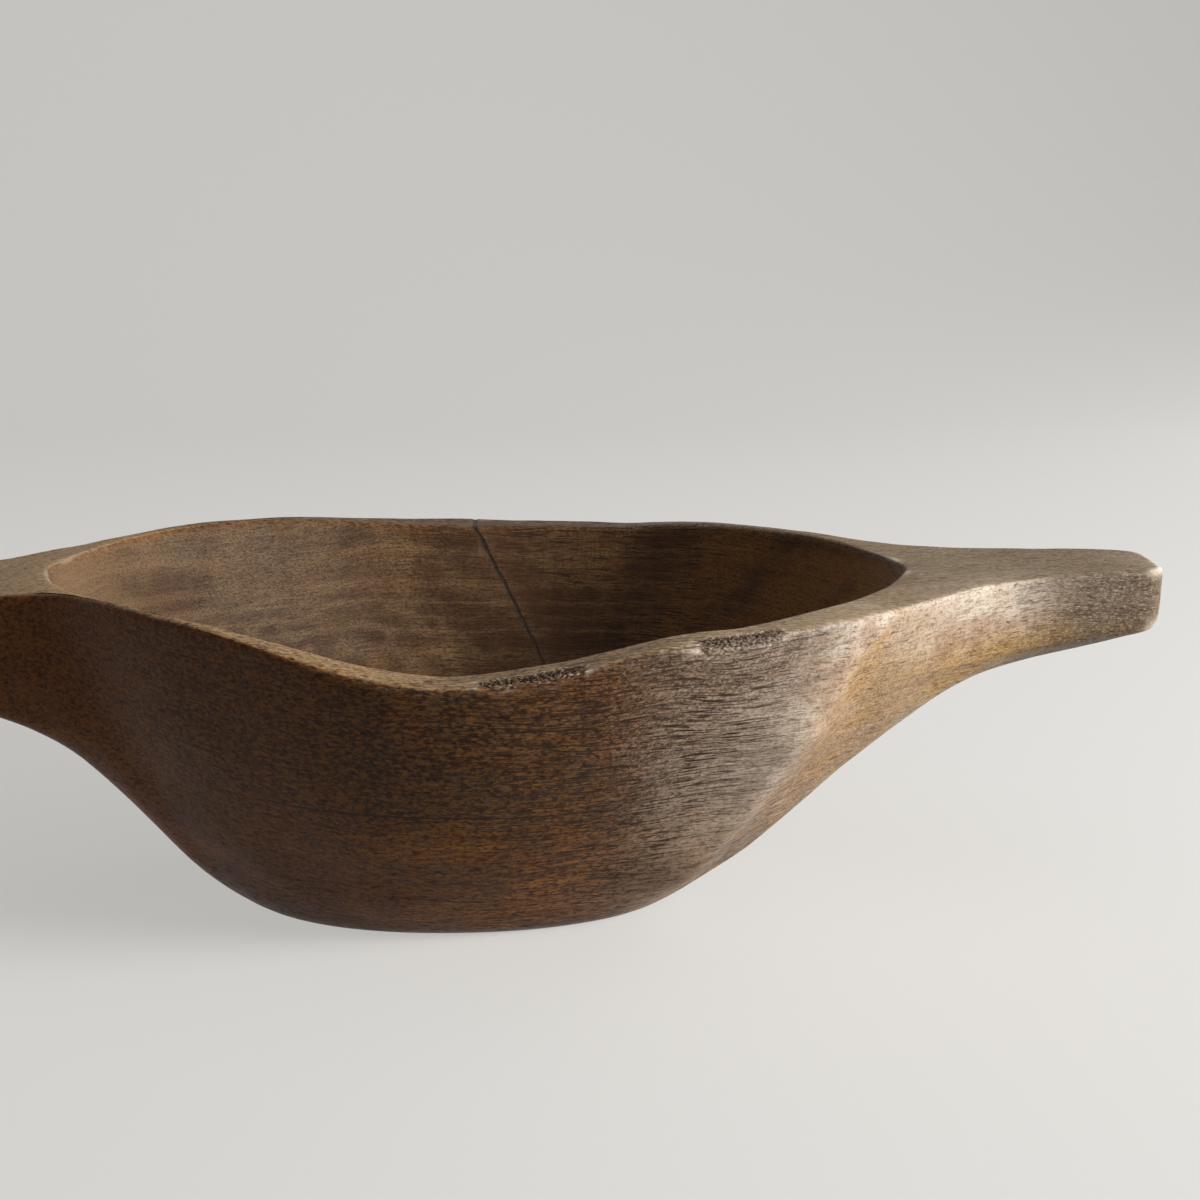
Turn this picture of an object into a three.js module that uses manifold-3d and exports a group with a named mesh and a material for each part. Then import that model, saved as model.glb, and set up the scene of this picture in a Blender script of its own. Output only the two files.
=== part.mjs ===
// A long serving bowl, carved by hand from one block of wood. The block is hollowed to an oval basin,
// and its two ends run out as grips. A drying crack through the far wall is filled with dark resin,
// which is the second piece.
// Millimetres, +Z up. X runs along the bowl, and -Y points to the near side, whose rim dips lower.
// The origin lies under the middle of the bowl, on the surface that it stands on.
import * as THREE from 'three';
import { mergeVertices } from 'three/addons/utils/BufferGeometryUtils.js';
import Module from 'manifold-3d';

// Overall sizes
const LENGTH = 560;
const WIDTH = 276;
const HEIGHT = 135;

// Rim: its width, and how far its top lies below HEIGHT in each place
const RIM_WIDTH = 19;
const NEAR_DIP = 13;
const NEAR_DIP_LENGTH = 178;
const FAR_DIP = 9;
const FAR_DIP_LENGTH = 308;
const RIGHT_SHOULDER_DROP = 4;
const RIGHT_END_DROP = 2.5;
const LEFT_END_DROP = 12;
const SHOULDER_SPREAD = 262;
const OUTER_EDGE_RADIUS = 4;
const INNER_EDGE_RADIUS = 3;

// Grips: the solid ends beyond the basin
const GRIP_REACH = 105;
const GRIP_END_WIDTH = 36;
const GRIP_END_THICKNESS = 28;
const LEFT_ROOT_THICKNESS = 60;
const RIGHT_ROOT_THICKNESS = 34;
const LEFT_ROOT_REACH = 120;
const RIGHT_ROOT_REACH = 82;
const ROOT_BLEND = 5;
const GRIP_CORNER_RADIUS = 9;
const GRIP_EDGE_RADIUS = 7;

// Shoulders: how far past the basin's tip the body's outline would close, were there no grip.
// Necks: how far the side of a grip lies from the middle line where it leaves the body.
const NEAR_RIGHT_SHOULDER = 55;
const NEAR_LEFT_SHOULDER = 18;
const FAR_SHOULDER = 28;
const NEAR_RIGHT_NECK = 35;
const NEAR_LEFT_NECK = 46;
const FAR_NECK = 35;
const NECK_BLEND = 9;
const NECK_LENGTH = 68;

// Base and walls
const BASE_LENGTH = 192;
const BASE_WIDTH = 142;
const BASE_SHIFT = -9;
const FLOOR_THICKNESS = 20;
const WALL_BELLY = 10;

// Crack and its filling
const CRACK_X = -6;
const CRACK_DRIFT = 42;
const CRACK_TOP_WIDTH = 3;
const CRACK_TIP_WIDTH = 1.8;
const CRACK_TIP_HEIGHT = 52;
const CRACK_TIP_DEPTH = 4;
const CRACK_BACK_DEPTH = 20;
const FIT_GAP = 0.3;

// Shape numbers without a size
const BASIN_POWER = 2.6;
const OPENING_OVAL = { power: 2.15, rounding: 0.66 };
const BASE_OVAL = { power: 2.3, rounding: 0.44 };
const BELLY_POWER = 0.9;
const ROOT_SHARE = 0.12;

// Points that a curve is drawn through
const CURVE_STEPS = 40;

// Columns of points in each stretch of a quarter outline, and the part of the opening's and the base's
// quarter outline that the stretch has used up at its end
const STRETCHES = [
  { name: 'side', columns: 15, opening: 0.82, base: 0.74 },
  { name: 'grip', columns: 5, opening: 0.93, base: 0.9 },
  { name: 'corner', columns: 4, opening: 0.96, base: 0.95 },
  { name: 'end', columns: 2, opening: 1, base: 1 },
];

const HALF_LENGTH = LENGTH / 2;
const HALF_WIDTH = WIDTH / 2;
const BASIN_TIP = HALF_LENGTH - GRIP_REACH;
const BASIN_HALF_WIDTH = HALF_WIDTH - RIM_WIDTH;
const GRIP_START = BASIN_TIP + NECK_LENGTH / 4;

const { smoothstep, lerp } = THREE.MathUtils;
const softMax = (a, b, blend) => (a + b + Math.hypot(a - b, 2 * blend)) / 2;
const softMin = (a, b, blend) => (a + b - Math.hypot(a - b, 2 * blend)) / 2;

// Height of the rim's top at a place along the bowl, on the near (-1) or the far (+1) side
function rimHeight(x, side) {
  const shoulder = SHOULDER_SPREAD / 2;
  const line = RIGHT_SHOULDER_DROP * smoothstep(x, -shoulder, shoulder)
    + (RIGHT_END_DROP - RIGHT_SHOULDER_DROP) * smoothstep(x, shoulder, HALF_LENGTH)
    + LEFT_END_DROP * smoothstep(-x, shoulder, HALF_LENGTH);
  const dip = side < 0 ? NEAR_DIP : FAR_DIP;
  const reach = (side < 0 ? NEAR_DIP_LENGTH : FAR_DIP_LENGTH) / 2;
  return HEIGHT - line - dip * Math.max(0, 1 - (x / reach) ** 2) ** 2;
}

// Half of the bowl's width at a place along it: a parabola for the body, run into a tapering grip
function halfWidth(x, { shoulder, neck }) {
  const taper = Math.max(0, (x - BASIN_TIP) / GRIP_REACH);
  const grip = lerp(neck, GRIP_END_WIDTH / 2, taper);
  const crown = HALF_WIDTH - NECK_BLEND ** 2 / (HALF_WIDTH - neck);
  const body = crown * (1 - (x / (BASIN_TIP + shoulder)) ** 2);
  return softMax(body, grip, NECK_BLEND);
}

// Height of the underside at one end of the bowl: the end wall climbs from the base to the root of the
// grip, and the grip's underside runs on from there
function undersideHeight(x, end) {
  const baseEnd = BASE_LENGTH / 2 + BASE_SHIFT * end;
  const root = HALF_LENGTH - (end < 0 ? LEFT_ROOT_REACH : RIGHT_ROOT_REACH);
  const rootThickness = end < 0 ? LEFT_ROOT_THICKNESS : RIGHT_ROOT_THICKNESS;
  const rootHeight = rimHeight(root * end, 1) - rootThickness;
  const endHeight = rimHeight(HALF_LENGTH * end, 1) - GRIP_END_THICKNESS;
  const wall = rootHeight * (x - baseEnd) / (root - baseEnd);
  const grip = lerp(rootHeight, endHeight, (x - root) / (HALF_LENGTH - root));
  return Math.max(0, softMin(wall, grip, ROOT_BLEND));
}

// How far a wall swells out past a straight one, by the share of its height
function belly(rise) {
  const fullest = BELLY_POWER / (1 + BELLY_POWER);
  const swell = (share) => share ** BELLY_POWER * (1 - share);
  return WALL_BELLY * swell(rise) / swell(fullest);
}

// The curves of a quarter outline, from the middle of a long side to the middle of the grip's end
function quarterCurves(quarter) {
  const cornerStart = HALF_LENGTH - GRIP_CORNER_RADIUS;
  const sideCurve = (from, to) => {
    const points = [];
    for (let step = 0; step <= CURVE_STEPS; step += 1) {
      const x = lerp(from, to, step / CURVE_STEPS);
      points.push(new THREE.Vector2(x, halfWidth(x, quarter)));
    }
    return new THREE.SplineCurve(points);
  };
  const cornerSide = new THREE.Vector2(cornerStart, halfWidth(cornerStart, quarter));
  const corner = new THREE.Vector2(HALF_LENGTH, GRIP_END_WIDTH / 2);
  const cornerEnd = new THREE.Vector2(HALF_LENGTH, GRIP_END_WIDTH / 2 - GRIP_CORNER_RADIUS);
  return {
    side: sideCurve(0, GRIP_START),
    grip: sideCurve(GRIP_START, cornerStart),
    corner: new THREE.QuadraticBezierCurve(cornerSide, corner, cornerEnd),
    end: new THREE.LineCurve(cornerEnd, new THREE.Vector2(HALF_LENGTH, 0)),
  };
}

// A quarter of an oval, from the middle of its long side to its tip
function ovalCurve(halfLength, halfBreadth, { power, rounding }) {
  const points = [];
  for (let step = 0; step <= CURVE_STEPS; step += 1) {
    const along = Math.sin((step / CURVE_STEPS) * Math.PI / 2);
    const across = Math.max(0, 1 - along ** power) ** rounding;
    points.push(new THREE.Vector2(halfLength * along, halfBreadth * across));
  }
  return new THREE.SplineCurve(points);
}

const outwardOf = (curve, at) => {
  const tangent = curve.getTangentAt(at);
  return new THREE.Vector2(-tangent.y, tangent.x);
};

// One quarter of the bowl as columns: matching points of the outline, the opening and the base
function quarterColumns(quarter) {
  const outline = quarterCurves(quarter);
  const opening = ovalCurve(BASIN_TIP, BASIN_HALF_WIDTH, OPENING_OVAL);
  const base = ovalCurve(BASE_LENGTH / 2, BASE_WIDTH / 2, BASE_OVAL);
  const columns = [];
  let from = { opening: 0, base: 0 };
  STRETCHES.forEach((stretch, index) => {
    const curve = outline[stretch.name];
    const first = index === 0 ? 0 : 1;
    for (let step = first; step <= stretch.columns; step += 1) {
      const at = step / stretch.columns;
      const openingAt = lerp(from.opening, stretch.opening, at);
      const baseAt = lerp(from.base, stretch.base, at);
      columns.push({
        outer: curve.getPointAt(at),
        outward: outwardOf(curve, at),
        inner: opening.getPointAt(openingAt),
        innerOutward: outwardOf(opening, openingAt),
        base: base.getPointAt(baseAt),
      });
    }
    from = stretch;
  });
  return columns;
}

// A column's points from the base's edge up the outside, over the rim and down to the basin's floor
function columnProfile(column, signX, signY) {
  const { outer, outward, inner, innerOutward } = column;
  const base = column.base.clone().add(new THREE.Vector2(BASE_SHIFT * signX, 0));
  const points = [];
  const put = (plan, z) => points.push(new THREE.Vector3(plan.x * signX, plan.y * signY, z));
  const topAt = (plan) => rimHeight(plan.x * signX, signY);
  const shifted = (plan, direction, by) => plan.clone().addScaledVector(direction, by);

  const edgeHeight = topAt(outer) - OUTER_EDGE_RADIUS;
  const lowEdge = undersideHeight(outer.x, signX);
  const gripShare = smoothstep(outer.x, BASIN_TIP - NECK_LENGTH / 4, BASIN_TIP + NECK_LENGTH);
  const rounding = GRIP_EDGE_RADIUS;
  const root = outer.clone().lerp(base, ROOT_SHARE);
  root.x = Math.min(root.x, GRIP_START);
  // The wall of the body runs straight up with a belly. The end under a grip runs out along the end
  // wall to the grip's root, on to the grip's rounded lower edge and up the grip's side.
  const wallRises = [0, 0.12, 0.25, 0.39, 0.52, 0.64, 0.73, 0.78, 0.83, 0.91, 1];
  const gripPlans = [
    ...[0, 0.2, 0.4, 0.6, 0.8, 1].map((out) => base.clone().lerp(root, out)),
    ...[1, 0.3, 0, 0, 0].map((inset) => shifted(outer, outward, -inset * rounding)),
  ];
  const gripHeights = [
    ...gripPlans.slice(0, 6).map((plan) => undersideHeight(plan.x, signX)),
    ...[0, 0.3, 1].map((lift) => lowEdge + lift * rounding),
    ...[0.5, 1].map((share) => lerp(lowEdge + rounding, edgeHeight, share)),
  ];
  wallRises.forEach((rise, step) => {
    const wallPlan = shifted(base.clone().lerp(outer, rise), outward, belly(rise));
    const plan = wallPlan.lerp(gripPlans[step], gripShare);
    put(plan, lerp(edgeHeight * rise, gripHeights[step], gripShare));
  });

  const bevel = 1 - Math.SQRT1_2;
  put(shifted(outer, outward, -bevel * OUTER_EDGE_RADIUS), topAt(outer) - bevel * OUTER_EDGE_RADIUS);
  const rimOuter = shifted(outer, outward, -OUTER_EDGE_RADIUS);
  const rimInner = shifted(inner, innerOutward, INNER_EDGE_RADIUS);
  for (const across of [0, 0.33, 0.67, 1]) {
    const plan = rimOuter.clone().lerp(rimInner, across);
    put(plan, topAt(plan));
  }
  put(shifted(inner, innerOutward, bevel * INNER_EDGE_RADIUS), topAt(inner) - bevel * INNER_EDGE_RADIUS);

  const basinTop = topAt(inner) - INNER_EDGE_RADIUS;
  for (const share of [1, 0.93, 0.85, 0.76, 0.66, 0.55, 0.43, 0.3, 0.16]) {
    const plan = inner.clone().multiplyScalar(share);
    put(plan, lerp(FLOOR_THICKNESS, basinTop, share ** BASIN_POWER));
  }
  return points;
}

// Closed skin through columns that go round the Z axis, ending in a point below and one inside
function loftColumns(columns, bottom, floor) {
  const around = columns.length;
  const rings = columns[0].length;
  const points = [...columns.flat(), bottom, floor];
  const bottomIndex = around * rings;
  const floorIndex = bottomIndex + 1;
  const index = [];
  for (let column = 0; column < around; column += 1) {
    const here = column * rings;
    const next = ((column + 1) % around) * rings;
    index.push(bottomIndex, next, here);
    for (let ring = 0; ring < rings - 1; ring += 1) {
      index.push(here + ring, next + ring, next + ring + 1);
      index.push(here + ring, next + ring + 1, here + ring + 1);
    }
    index.push(floorIndex, here + rings - 1, next + rings - 1);
  }
  const geometry = new THREE.BufferGeometry().setFromPoints(points);
  geometry.setIndex(index);
  return geometry;
}

// The whole bowl before it cracked
function carvedGeometry() {
  const quarter = (signX, signY, shoulder, neck) => quarterColumns({ shoulder, neck })
    .map((column) => columnProfile(column, signX, signY));
  const nearRight = quarter(1, -1, NEAR_RIGHT_SHOULDER, NEAR_RIGHT_NECK);
  const nearLeft = quarter(-1, -1, NEAR_LEFT_SHOULDER, NEAR_LEFT_NECK);
  const farRight = quarter(1, 1, FAR_SHOULDER, FAR_NECK);
  const farLeft = quarter(-1, 1, FAR_SHOULDER, FAR_NECK);
  const columns = [
    ...farRight.reverse().slice(0, -1),
    ...farLeft.slice(0, -1),
    ...nearLeft.reverse().slice(0, -1),
    ...nearRight.slice(0, -1),
  ];
  return loftColumns(columns, new THREE.Vector3(0, 0, 0), new THREE.Vector3(0, 0, FLOOR_THICKNESS));
}

// Thin wedge along the crack: wide and right through at the rim, narrow and shallow at its tip.
// A gap makes it that much smaller on every side that meets the wood.
function crackGeometry(gap) {
  const rimTop = rimHeight(CRACK_X, 1);
  const above = HEIGHT + RIM_WIDTH;
  const tip = CRACK_TIP_HEIGHT + gap;
  const climb = (CRACK_TIP_HEIGHT - FLOOR_THICKNESS) / (rimTop - FLOOR_THICKNESS);
  const tipWall = BASIN_HALF_WIDTH * climb ** (1 / BASIN_POWER);
  const outside = HALF_WIDTH + RIM_WIDTH;
  const side = new THREE.Shape([
    new THREE.Vector2(tipWall - RIM_WIDTH, tip),
    new THREE.Vector2(tipWall + CRACK_TIP_DEPTH - gap, tip),
    new THREE.Vector2(HALF_WIDTH - gap, rimTop - CRACK_BACK_DEPTH),
    new THREE.Vector2(outside, rimTop - CRACK_BACK_DEPTH + gap),
    new THREE.Vector2(outside, above),
    new THREE.Vector2(tipWall - RIM_WIDTH, above),
  ]);
  const extruded = new THREE.ExtrudeGeometry(side, { depth: 1, bevelEnabled: false });
  extruded.deleteAttribute('normal');
  extruded.deleteAttribute('uv');
  const geometry = mergeVertices(extruded);
  const place = geometry.getAttribute('position');
  for (let point = 0; point < place.count; point += 1) {
    const y = place.getX(point);
    const z = place.getY(point);
    const descent = (rimTop - z) / (rimTop - CRACK_TIP_HEIGHT);
    const width = lerp(CRACK_TOP_WIDTH, CRACK_TIP_WIDTH, descent) - 2 * gap;
    const x = CRACK_X + CRACK_DRIFT * descent + (place.getZ(point) - 0.5) * width;
    place.setXYZ(point, x, y, z);
  }
  return geometry;
}

const wasm = await Module();
wasm.setup();

function solidFrom(geometry) {
  const vertProperties = new Float32Array(geometry.getAttribute('position').array);
  const triVerts = new Uint32Array(geometry.getIndex().array);
  return new wasm.Manifold(new wasm.Mesh({ numProp: 3, vertProperties, triVerts }));
}

function geometryFrom(solid) {
  const mesh = solid.getMesh();
  const geometry = new THREE.BufferGeometry();
  geometry.setAttribute('position', new THREE.BufferAttribute(mesh.vertProperties, 3));
  geometry.setIndex(new THREE.BufferAttribute(mesh.triVerts, 1));
  geometry.computeVertexNormals();
  return geometry;
}

const wood = new THREE.MeshStandardMaterial({ color: 0x7d6046, roughness: 0.62, metalness: 0 });
const resin = new THREE.MeshStandardMaterial({ color: 0x1a1512, roughness: 0.35, metalness: 0 });

const carved = solidFrom(carvedGeometry());

const bowlBody = new THREE.Mesh(geometryFrom(carved.subtract(solidFrom(crackGeometry(0)))), wood);
bowlBody.name = 'bowl_body';

const crackFill = new THREE.Mesh(geometryFrom(carved.intersect(solidFrom(crackGeometry(FIT_GAP)))), resin);
crackFill.name = 'crack_fill';

const bowl = new THREE.Group();
bowl.add(bowlBody, crackFill);
export default bowl;
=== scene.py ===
# %% [markdown]
# # A carved serving bowl, dressed from its CAD
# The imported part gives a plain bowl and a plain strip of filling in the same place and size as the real
# ones. Here they become what the camera sees: hand-cut wood with worn edges, and a crack with dark
# resin in it. Everything is in metres, in the part's own frame, so nothing has to be fitted afterwards.

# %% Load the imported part
import math

import bmesh
import bpy
import numpy as np
from mathutils import Matrix, Vector


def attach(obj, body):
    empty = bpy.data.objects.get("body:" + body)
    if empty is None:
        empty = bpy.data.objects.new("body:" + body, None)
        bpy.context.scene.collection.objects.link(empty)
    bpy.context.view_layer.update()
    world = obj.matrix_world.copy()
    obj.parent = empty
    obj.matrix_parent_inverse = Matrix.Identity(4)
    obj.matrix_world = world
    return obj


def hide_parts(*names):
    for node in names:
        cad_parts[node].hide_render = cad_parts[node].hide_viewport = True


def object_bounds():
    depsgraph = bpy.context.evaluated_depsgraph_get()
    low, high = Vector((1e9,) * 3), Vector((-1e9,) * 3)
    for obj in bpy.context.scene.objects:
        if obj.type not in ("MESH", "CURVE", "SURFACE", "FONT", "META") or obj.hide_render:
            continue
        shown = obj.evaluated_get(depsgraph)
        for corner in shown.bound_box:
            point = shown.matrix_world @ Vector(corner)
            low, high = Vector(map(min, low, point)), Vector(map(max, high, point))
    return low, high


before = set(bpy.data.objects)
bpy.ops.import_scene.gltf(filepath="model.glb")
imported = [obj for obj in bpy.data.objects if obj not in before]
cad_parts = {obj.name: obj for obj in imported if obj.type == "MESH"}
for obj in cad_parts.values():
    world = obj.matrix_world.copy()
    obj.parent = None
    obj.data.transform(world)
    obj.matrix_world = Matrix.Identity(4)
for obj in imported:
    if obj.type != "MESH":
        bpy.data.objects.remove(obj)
cad_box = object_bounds()
print("CAD box", [round(v, 4) for corner in cad_box for v in corner])

# %% [markdown]
# ## The camera
# The bowl is seen from a little above, close up, with its left grip running out of the picture. A
# camera can be placed by eye, but here its turn, lift and distance were worked out from the bowl's
# outline, so they are written as numbers. Being close gives the strong perspective of the near rim.

# %% Place the camera
CAMERA_AIM = Vector((0.0500, 0.0, 0.1167))
CAMERA_DISTANCE = 0.6759
CAMERA_TURN = math.radians(-1.11)
CAMERA_LIFT = math.radians(13.98)
CAMERA_ROLL = math.radians(-0.12)

bpy.ops.object.select_all(action="DESELECT")
bpy.ops.object.camera_add()
camera = bpy.context.object
camera.name = "bowl_camera"
camera.data.sensor_width = 36.0
camera.data.lens = 48.9
turned = Matrix.Rotation(CAMERA_TURN, 4, "Z") @ Matrix.Rotation(math.pi / 2 - CAMERA_LIFT, 4, "X")
backwards = turned @ Vector((0.0, 0.0, 1.0))
rolled = turned @ Matrix.Rotation(CAMERA_ROLL, 4, "Z")
camera.matrix_world = Matrix.Translation(CAMERA_AIM + CAMERA_DISTANCE * backwards) @ rolled
bpy.context.scene.camera = camera
bpy.context.scene.view_settings.view_transform = "Standard"
print("camera at", [round(v, 3) for v in camera.matrix_world.translation])

# %% [markdown]
# ## Selecting by place
# By hand you would click on the edges and faces you need. A script finds them by where they are: this
# helper selects everything of one kind in edit mode whose middle passes a test.

# %% A helper that selects by place
def pick(kind, test):
    """Select the vertices, edges or faces of the mesh in edit mode whose middle passes the test."""
    bpy.ops.mesh.select_mode(type=kind)
    bpy.ops.mesh.select_all(action="DESELECT")
    mesh = bpy.context.edit_object.data
    shape = bmesh.from_edit_mesh(mesh)
    group = {"VERT": shape.verts, "EDGE": shape.edges, "FACE": shape.faces}[kind]
    count = 0
    for item in group:
        corners = [item] if kind == "VERT" else item.verts
        middle = sum((corner.co for corner in corners), Vector()) / len(corners)
        if test(middle):
            item.select_set(True)
            count += 1
    bmesh.update_edit_mesh(mesh)
    return count


# %% [markdown]
# ## A node helper
# Materials are built from many small nodes. This helper adds one, sets its options, and takes each
# input either as a fixed value or as the output of an earlier node, which reads like laying nodes out
# from left to right.

# %% A helper for material nodes
def add_node(tree, kind, options=None, **sockets):
    """Add a node. A socket is named with _ for a space, and holds a value or another node's output."""
    node = tree.nodes.new(kind)
    for name, value in (options or {}).items():
        setattr(node, name, value)
    for name, value in sockets.items():
        key = int(name[1:]) if name[1:].isdigit() else name.replace("_", " ")
        if isinstance(value, bpy.types.NodeSocket):
            tree.links.new(value, node.inputs[key])
        else:
            node.inputs[key].default_value = value
    return node


def paint(red, green, blue):
    """A colour as a paint chart gives it, 0 to 255, turned into the linear values that nodes use."""
    levels = []
    for part in (red, green, blue):
        share = part / 255
        levels.append(share / 12.92 if share <= 0.04045 else ((share + 0.055) / 1.055) ** 2.4)
    return (*levels, 1.0)


def new_material(name, **sockets):
    """A node material and its shader with these fixed values, already joined to the output."""
    material = bpy.data.materials.new(name)
    material.use_nodes = True
    tree = material.node_tree
    tree.nodes.clear()
    shader = tree.nodes.new("ShaderNodeBsdfPrincipled")
    output = tree.nodes.new("ShaderNodeOutputMaterial")
    tree.links.new(shader.outputs["BSDF"], output.inputs["Surface"])
    for socket, value in sockets.items():
        shader.inputs[socket.replace("_", " ")].default_value = value
    return material, tree, shader


# %% [markdown]
# ## The table and its backdrop
# The bowl stands on a plain pale sweep: a floor that curves up into a wall, as in a small photo studio.
# It is one plane whose far edge is extruded upwards, with the fold bevelled round so that no line shows
# behind the bowl. Its paleness is partly a glow that only the camera and reflections see, so that the
# floor doesn't light the bowl from below.

# %% Make the sweep
SWEEP_WIDTH = 12.0
SWEEP_DEPTH = 4.4
SWEEP_HEIGHT = 3.0
SWEEP_NEAR_REACH = 4.0
SWEEP_ROUNDING = 0.9

bpy.ops.object.select_all(action="DESELECT")
bpy.ops.mesh.primitive_plane_add(size=1.0)
sweep = bpy.context.object
sweep.name = "studio_sweep"
bpy.ops.object.mode_set(mode="EDIT")
bpy.ops.transform.resize(value=(SWEEP_WIDTH, SWEEP_DEPTH, 1.0))
pick("EDGE", lambda middle: middle.y < 0.01 - SWEEP_DEPTH / 2)
bpy.ops.transform.translate(value=(0.0, -SWEEP_NEAR_REACH, 0.0))
pick("EDGE", lambda middle: middle.y > SWEEP_DEPTH / 2 - 0.01)
bpy.ops.mesh.extrude_region_move(TRANSFORM_OT_translate={"value": (0.0, 0.0, SWEEP_HEIGHT)})
pick("EDGE", lambda middle: middle.y > SWEEP_DEPTH / 2 - 0.01 and abs(middle.z) < 0.01)
bpy.ops.mesh.bevel(offset=SWEEP_ROUNDING, segments=24)
bpy.ops.object.mode_set(mode="OBJECT")
bpy.ops.object.shade_smooth()
print("sweep faces", len(sweep.data.polygons))

# %% Colour the sweep
SWEEP_GLOW = 0.56


def seen_directly(tree):
    """1 for what the camera sees, also in a reflection or through glass, and 0 for light on other ways."""
    rays = add_node(tree, "ShaderNodeLightPath").outputs
    seen = rays["Is Camera Ray"]
    for kind in ("Is Glossy Ray", "Is Transmission Ray"):
        larger = add_node(tree, "ShaderNodeMath", {"operation": "MAXIMUM"}, _0=seen, _1=rays[kind])
        seen = larger.outputs["Value"]
    return seen


sweep_finish, tree, shader = new_material(
    "pale_sweep", Base_Color=paint(150, 148, 145), Roughness=0.9, Specular_IOR_Level=0.1,
    Emission_Color=paint(236, 234, 230))
glow = add_node(tree, "ShaderNodeMath", {"operation": "MULTIPLY"}, _0=seen_directly(tree), _1=SWEEP_GLOW)
tree.links.new(glow.outputs["Value"], shader.inputs["Emission Strength"])
sweep.data.materials.append(sweep_finish)
print("sweep nodes", len(tree.nodes))

# %% [markdown]
# ## The light
# The wood is lit by one soft window at the right, a little in front and low, so that it grazes the
# front wall and shows the grain. Wide lamps stand for the ceiling and for the room behind, and the
# world for the rest. Two lamps are held to a cone, so that they don't burn a bright spot into the
# floor.

# %% Hang the lamps
def hang_lamp(name, place, aim, width, height, power, spread):
    """A rectangular area lamp at a place, turned towards the aim, its light held to a cone in degrees."""
    bpy.ops.object.select_all(action="DESELECT")
    bpy.ops.object.light_add(type="AREA", location=place)
    lamp = bpy.context.object
    lamp.name = name
    lamp.data.shape = "RECTANGLE"
    lamp.data.size = width
    lamp.data.size_y = height
    lamp.data.energy = power
    lamp.data.spread = math.radians(spread)
    lamp.rotation_euler = (Vector(aim) - Vector(place)).to_track_quat("-Z", "Y").to_euler()
    return lamp


BOWL_MIDDLE = (0.0, 0.0, 0.08)
hang_lamp("window_right", (1.90, -0.61, 0.82), BOWL_MIDDLE, 0.67, 0.67, 24.0, 110.0)
hang_lamp("soft_above", (0.5, -0.2, 1.9), BOWL_MIDDLE, 1.6, 1.6, 3.0, 180.0)
hang_lamp("soft_behind", (1.5, 1.5, 0.5), BOWL_MIDDLE, 0.8, 0.8, 4.8, 110.0)

# %% Fill the room with weak light
ROOM_LIGHT = 0.10
ROOM_SEEN = 0.54

world = bpy.data.worlds.new("room_light")
bpy.context.scene.world = world
world.use_nodes = True
tree = world.node_tree
room = tree.nodes["Background"]
room.inputs["Color"].default_value = (1.0, 1.0, 1.0, 1.0)
seen = seen_directly(tree)
strength = add_node(tree, "ShaderNodeMapRange", Value=seen, To_Min=ROOM_LIGHT, To_Max=ROOM_SEEN)
tree.links.new(strength.outputs["Result"], room.inputs["Strength"])
print("room nodes", len(tree.nodes))

# %% [markdown]
# ## The carved body: sizes
# The bowl is cut from one block: a long oval basin with a thick rim that sags in the middle of both
# long sides, and a solid grip at each end. A carver would draw the rim, the opening and the base on the
# block first. These values are those drawings. The overall size comes from the CAD box, so the dressed
# bowl can't drift away from it.

# %% Sizes of the bowl
HALF_LENGTH, HALF_WIDTH, HEIGHT = cad_box[1]
RIM_WIDTH = 0.019
FLOOR_THICKNESS = 0.020
GRIP_REACH = 0.105
GRIP_END_WIDTH = 0.036
GRIP_END_THICKNESS = 0.028
NECK_LENGTH = 0.068
BASE_LENGTH = 0.192
BASE_WIDTH = 0.142
BASE_SHIFT = -0.009
WALL_BELLY = 0.010
OUTER_EDGE = 0.0024
INNER_EDGE = 0.0020
GRIP_EDGE = 0.007
BASIN_TIP = HALF_LENGTH - GRIP_REACH
BASIN_HALF_WIDTH = HALF_WIDTH - RIM_WIDTH
GRIP_START = BASIN_TIP + NECK_LENGTH / 4
print("basin", round(2 * BASIN_TIP, 3), "by", round(2 * BASIN_HALF_WIDTH, 3))

# %% [markdown]
# ## The carved body: lines of the rim and the grips
# Three lines give the bowl its shape. The rim sags in the middle of both long sides, most on the near
# one. The outline is a broad curve that runs softly into the narrow grips. The underside climbs from
# the base to the grips. Each is a small formula, because a hand-placed curve would have to be redone
# whenever a size changes.

# %% The rim, the outline and the underside as formulas
def mix(low, high, share):
    """The value a share of the way from low to high."""
    return low + (high - low) * share


def ease(value, low, high):
    """A soft step from 0 at low to 1 at high."""
    share = np.clip((value - low) / (high - low), 0.0, 1.0)
    return share * share * (3.0 - 2.0 * share)


def rim_height(x, side):
    """Height of the rim's top on the near (-1) or far (+1) side."""
    line = 0.004 * ease(x, -0.131, 0.131) - 0.0015 * ease(x, 0.131, HALF_LENGTH)
    line = line + 0.012 * ease(-x, 0.131, HALF_LENGTH)
    dip, reach, middle = (0.0125, 0.089, -0.006) if side < 0 else (0.009, 0.154, 0.0)
    return HEIGHT - line - dip * np.maximum(0.0, 1.0 - ((x - middle) / reach) ** 2) ** 2


def half_width(x, shoulder, neck):
    """Half of the bowl's width: a broad curve, run softly into a tapering grip."""
    soft = 0.009
    grip = mix(neck, GRIP_END_WIDTH / 2, np.maximum(0.0, (x - BASIN_TIP) / GRIP_REACH))
    crown = HALF_WIDTH - soft ** 2 / (HALF_WIDTH - neck)
    body = crown * (1.0 - (x / (BASIN_TIP + shoulder)) ** 2)
    return (body + grip + np.hypot(body - grip, 2 * soft)) / 2


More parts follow.
